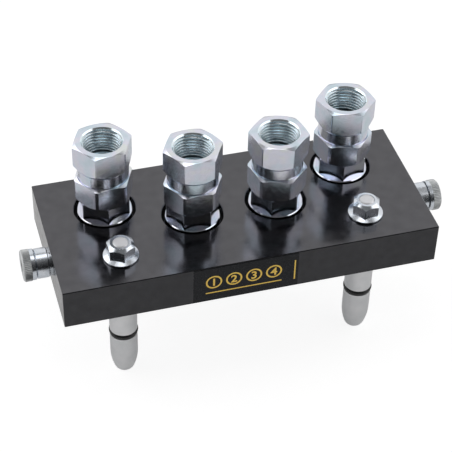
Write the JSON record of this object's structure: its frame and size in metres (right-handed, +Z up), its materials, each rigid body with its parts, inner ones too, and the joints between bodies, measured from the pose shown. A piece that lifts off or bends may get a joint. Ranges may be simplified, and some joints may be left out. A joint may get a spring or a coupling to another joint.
{
  "type": "hydraulic multi-coupling",
  "caption": "Mobile half of a hydraulic multi-coupling: black block with turning threaded ports, flat-face noses and guide pins below, knurled side pins.",
  "frame": {"origin": "centre of the block's underside, the face that meets the fixed half", "axes": "+X along the block, towards the right-hand side pin; +Y to its back; +Z up, out of the hose ports"},
  "size_m": [0.2232, 0.0832, 0.1239],
  "materials": {
    "black_anodised": "satin",
    "label_foil": "gloss",
    "zinc_plated_steel": "satin",
    "bright_zinc": "gloss",
    "ground_steel": "satin",
    "valve_steel": "satin",
    "spring_steel": "satin",
    "black_steel": "satin",
    "black_rubber": "matte"
  },
  "bodies": {
    "root": {"mobile_plate": "black_anodised", "front_label": "label_foil", "guide_pin_nuts": "bright_zinc", "guide_pin_left": "ground_steel", "guide_pin_right": "ground_steel", "guide_pin_ring_left": "black_rubber", "guide_pin_ring_right": "black_rubber", "side_pin_left": "bright_zinc", "side_pin_right": "bright_zinc", "side_washer_left": "bright_zinc", "side_washer_right": "bright_zinc", "retaining_ring_1": "black_steel", "retaining_ring_2": "black_steel", "retaining_ring_3": "black_steel", "retaining_ring_4": "black_steel"},
    "coupling_1": {"port_adaptor_1": "zinc_plated_steel", "coupling_body_1": "zinc_plated_steel", "adaptor_seal_1": "black_rubber", "body_seal_1": "black_rubber", "nose_seal_1": "black_rubber", "valve_guide_1": "valve_steel", "valve_spring_1": "spring_steel"},
    "poppet_1": {"valve_poppet_1": "valve_steel"},
    "coupling_2": {"port_adaptor_2": "zinc_plated_steel", "coupling_body_2": "zinc_plated_steel", "adaptor_seal_2": "black_rubber", "body_seal_2": "black_rubber", "nose_seal_2": "black_rubber", "valve_guide_2": "valve_steel", "valve_spring_2": "spring_steel"},
    "poppet_2": {"valve_poppet_2": "valve_steel"},
    "coupling_3": {"port_adaptor_3": "zinc_plated_steel", "coupling_body_3": "zinc_plated_steel", "adaptor_seal_3": "black_rubber", "body_seal_3": "black_rubber", "nose_seal_3": "black_rubber", "valve_guide_3": "valve_steel", "valve_spring_3": "spring_steel"},
    "poppet_3": {"valve_poppet_3": "valve_steel"},
    "coupling_4": {"port_adaptor_4": "zinc_plated_steel", "coupling_body_4": "zinc_plated_steel", "adaptor_seal_4": "black_rubber", "body_seal_4": "black_rubber", "nose_seal_4": "black_rubber", "valve_guide_4": "valve_steel", "valve_spring_4": "spring_steel"},
    "poppet_4": {"valve_poppet_4": "valve_steel"},
    "roller_left": {"side_roller_left": "bright_zinc"},
    "roller_right": {"side_roller_right": "bright_zinc"}
  },
  "joints": [
    {"name": "coupling_turn_1", "type": "hinge", "parent": "root", "child": "coupling_1", "pos_m": [-0.06425, 0.0155, 0.01], "axis": [0, 0, 1], "continuous": true},
    {"name": "poppet_slide_1", "type": "slide", "parent": "coupling_1", "child": "poppet_1", "axis": [0, 0, 1], "range_m": [0, 0.008], "stiffness_N_per_m": 1500, "springref_m": -0.008, "deforming": ["valve_spring_1"]},
    {"name": "coupling_turn_2", "type": "hinge", "parent": "root", "child": "coupling_2", "pos_m": [-0.02175, 0, 0.01], "axis": [0, 0, 1], "continuous": true},
    {"name": "poppet_slide_2", "type": "slide", "parent": "coupling_2", "child": "poppet_2", "axis": [0, 0, 1], "range_m": [0, 0.008], "stiffness_N_per_m": 1500, "springref_m": -0.008, "deforming": ["valve_spring_2"]},
    {"name": "coupling_turn_3", "type": "hinge", "parent": "root", "child": "coupling_3", "pos_m": [0.02275, 0, 0.01], "axis": [0, 0, 1], "continuous": true},
    {"name": "poppet_slide_3", "type": "slide", "parent": "coupling_3", "child": "poppet_3", "axis": [0, 0, 1], "range_m": [0, 0.008], "stiffness_N_per_m": 1500, "springref_m": -0.008, "deforming": ["valve_spring_3"]},
    {"name": "coupling_turn_4", "type": "hinge", "parent": "root", "child": "coupling_4", "pos_m": [0.06425, 0.018, 0.01], "axis": [0, 0, 1], "continuous": true},
    {"name": "poppet_slide_4", "type": "slide", "parent": "coupling_4", "child": "poppet_4", "axis": [0, 0, 1], "range_m": [0, 0.008], "stiffness_N_per_m": 1500, "springref_m": -0.008, "deforming": ["valve_spring_4"]},
    {"name": "roller_turn_left", "type": "hinge", "parent": "root", "child": "roller_left", "pos_m": [-0.1017, -0.005, 0.0115], "axis": [1, 0, 0], "continuous": true},
    {"name": "roller_turn_right", "type": "hinge", "parent": "root", "child": "roller_right", "pos_m": [0.1017, -0.005, 0.0115], "axis": [1, 0, 0], "continuous": true}
  ]
}
